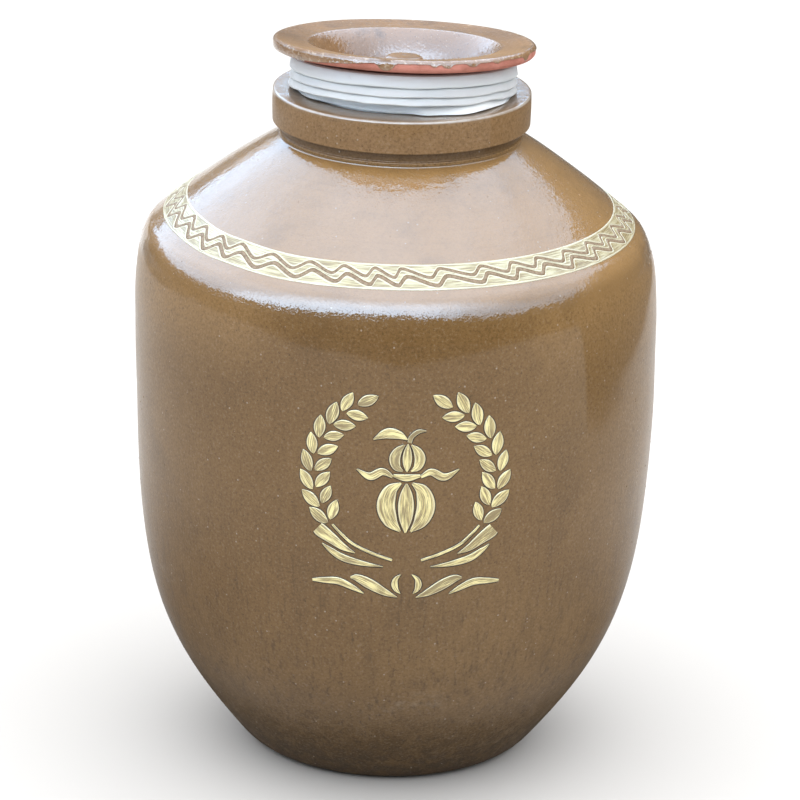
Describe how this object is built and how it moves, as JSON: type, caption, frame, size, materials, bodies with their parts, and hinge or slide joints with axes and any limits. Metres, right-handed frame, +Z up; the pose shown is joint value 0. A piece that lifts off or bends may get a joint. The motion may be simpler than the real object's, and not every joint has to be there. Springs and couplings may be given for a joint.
{
  "type": "stoneware wine jar",
  "caption": "Round-shouldered brown glazed stoneware jar for storing wine, closed by a recessed ceramic lid in a soft finned seal that lifts out of a thick collared mouth.",
  "frame": {"origin": "centre of the foot ring, on the plane the jar stands on", "axes": "+Z up along the jar's axis, -Y towards the decorated front, +X to the right seen from the front"},
  "size_m": [0.4448, 0.4448, 0.6293],
  "materials": {
    "jar_glaze": "glossy brown glaze over stoneware",
    "lid_glaze": "glossy light brown glaze, bare clay on the underside",
    "seal_silicone": "soft white silicone, satin",
    "gilding": "brushed gold paint on the glaze"
  },
  "bodies": {
    "jar": {"jar_body": "jar_glaze"},
    "seal": {"lid_seal": "seal_silicone"},
    "lid": {"lid": "lid_glaze"}
  },
  "joints": [
    {"name": "stopper_lift", "type": "slide", "parent": "jar", "child": "seal", "axis": [0, 0, 1], "range_m": [0, 0.2]},
    {"name": "lid_draw", "type": "slide", "parent": "seal", "child": "lid", "axis": [0, 0.0785, 0.9969], "range_m": [0, 0.12]}
  ]
}
